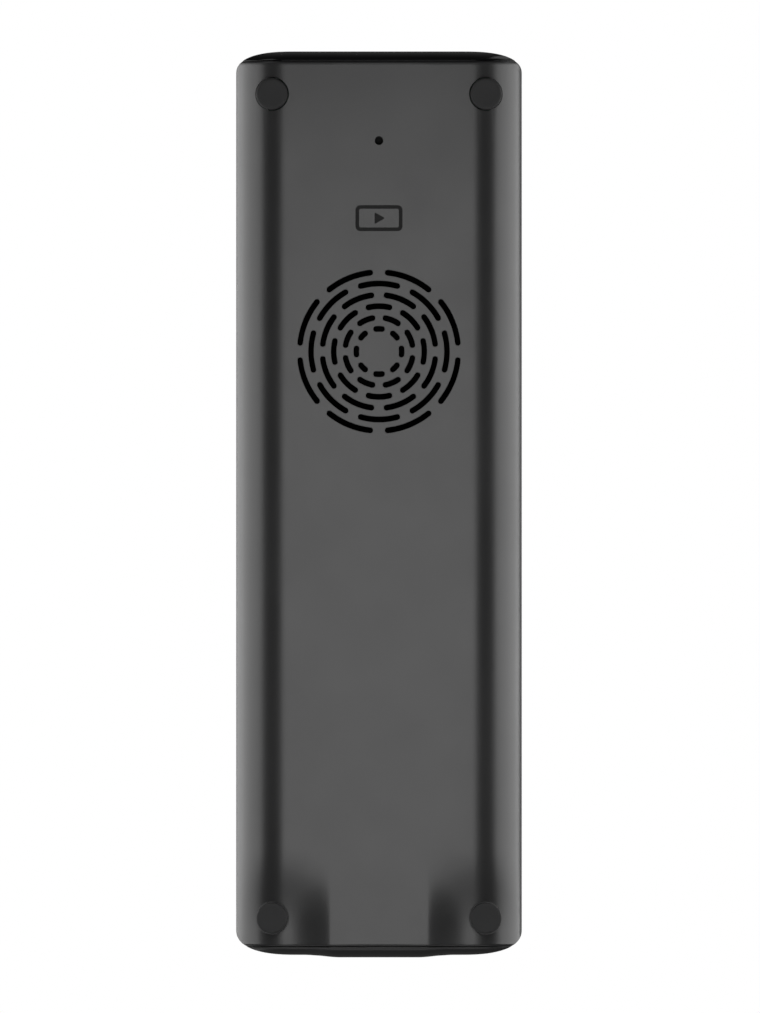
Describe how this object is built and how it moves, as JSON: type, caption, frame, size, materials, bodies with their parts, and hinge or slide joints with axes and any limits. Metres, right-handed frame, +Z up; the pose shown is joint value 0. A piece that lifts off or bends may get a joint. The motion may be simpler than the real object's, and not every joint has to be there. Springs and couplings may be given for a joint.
{
  "type": "streaming media player",
  "caption": "Slim stick-shaped streaming player on rubber feet, with a ring vent underneath, a fan, a board, rear sockets, a reset pinhole and a power button.",
  "frame": {"origin": "on the surface the four feet stand on, under the middle of the player", "axes": "+X to the right seen from the front end, +Y along the length towards the sockets at the rear, +Z up through the top, away from the feet"},
  "size_m": [0.0474, 0.1504, 0.0189],
  "materials": {
    "case_plastic": "dark grey, fine satin grain",
    "window_plastic": "near black, infrared-passing, smooth",
    "foot_rubber": "dark grey rubber, matt",
    "screw_steel": "zinc-plated steel",
    "board_laminate": "green solder resist",
    "chip_plastic": "moulded epoxy",
    "plated_metal": "nickel plated",
    "socket_plastic": "black moulding",
    "contact_brass": "turned brass",
    "sink_aluminium": "extruded, clear anodised",
    "white_nylon": "natural nylon",
    "pad_rubber": "silicone pad",
    "button_plastic": "satin dark grey",
    "fan_plastic": "black moulding",
    "ferrite": "sintered ferrite",
    "winding": "enamelled copper winding",
    "lead_sleeve": "black sleeve",
    "aerial_foil": "flexible film with copper tracks",
    "lens_plastic": "dark epoxy lens",
    "light_plastic": "clear epoxy over white"
  },
  "bodies": {
    "case": {"aerial_1": "aerial_foil", "aerial_2": "aerial_foil", "aerial_lead_1": "lead_sleeve", "aerial_lead_2": "lead_sleeve", "audio_socket": "socket_plastic", "bottom_shell": "case_plastic", "capacitor_1": "plated_metal", "capacitor_2": "plated_metal", "case_screw_front_left": "screw_steel", "case_screw_front_right": "screw_steel", "case_screw_rear_left": "screw_steel", "case_screw_rear_right": "screw_steel", "crystal": "plated_metal", "fan_bearing": "contact_brass", "fan_frame": "fan_plastic", "fan_lead": "lead_sleeve", "fan_plug": "white_nylon", "fan_stator": "winding", "foot_front_left": "foot_rubber", "foot_front_right": "foot_rubber", "foot_rear_left": "foot_rubber", "foot_rear_right": "foot_rubber", "front_cap": "window_plastic", "heat_sink": "sink_aluminium", "heat_sink_pin_1": "white_nylon", "heat_sink_pin_2": "white_nylon", "heat_sink_spring_1": "screw_steel", "heat_sink_spring_2": "screw_steel", "inductor_1": "ferrite", "inductor_2": "ferrite", "ir_receiver": "lens_plastic", "main_board": "board_laminate", "memory_chip_1": "chip_plastic", "memory_chip_2": "chip_plastic", "power_chip": "chip_plastic", "power_socket": "socket_plastic", "power_socket_pin": "contact_brass", "power_switch": "socket_plastic", "processor": "chip_plastic", "radio_module": "plated_metal", "rear_cap": "case_plastic", "reset_switch": "socket_plastic", "status_led": "light_plastic", "storage_chip": "chip_plastic", "thermal_pad": "pad_rubber", "top_shell": "case_plastic", "video_socket": "plated_metal", "video_tongue": "socket_plastic"},
    "fan": {"fan_rotor": "fan_plastic", "fan_shaft": "screw_steel", "fan_magnet": "ferrite"},
    "power": {"power_button": "button_plastic", "power_switch_plunger": "white_nylon"},
    "reset": {"reset_plunger": "socket_plastic"}
  },
  "joints": [
    {"name": "fan_spin", "type": "hinge", "parent": "case", "child": "fan", "pos_m": [0, -0.02537, 0.006], "axis": [0, 0, 1], "continuous": true},
    {"name": "power_press", "type": "slide", "parent": "case", "child": "power", "axis": [0, 0, -1], "range_m": [0, 0.0003], "stiffness_N_per_m": 1500},
    {"name": "reset_press", "type": "slide", "parent": "case", "child": "reset", "axis": [0, 0, 1], "range_m": [0, 0.00025], "stiffness_N_per_m": 1500}
  ]
}
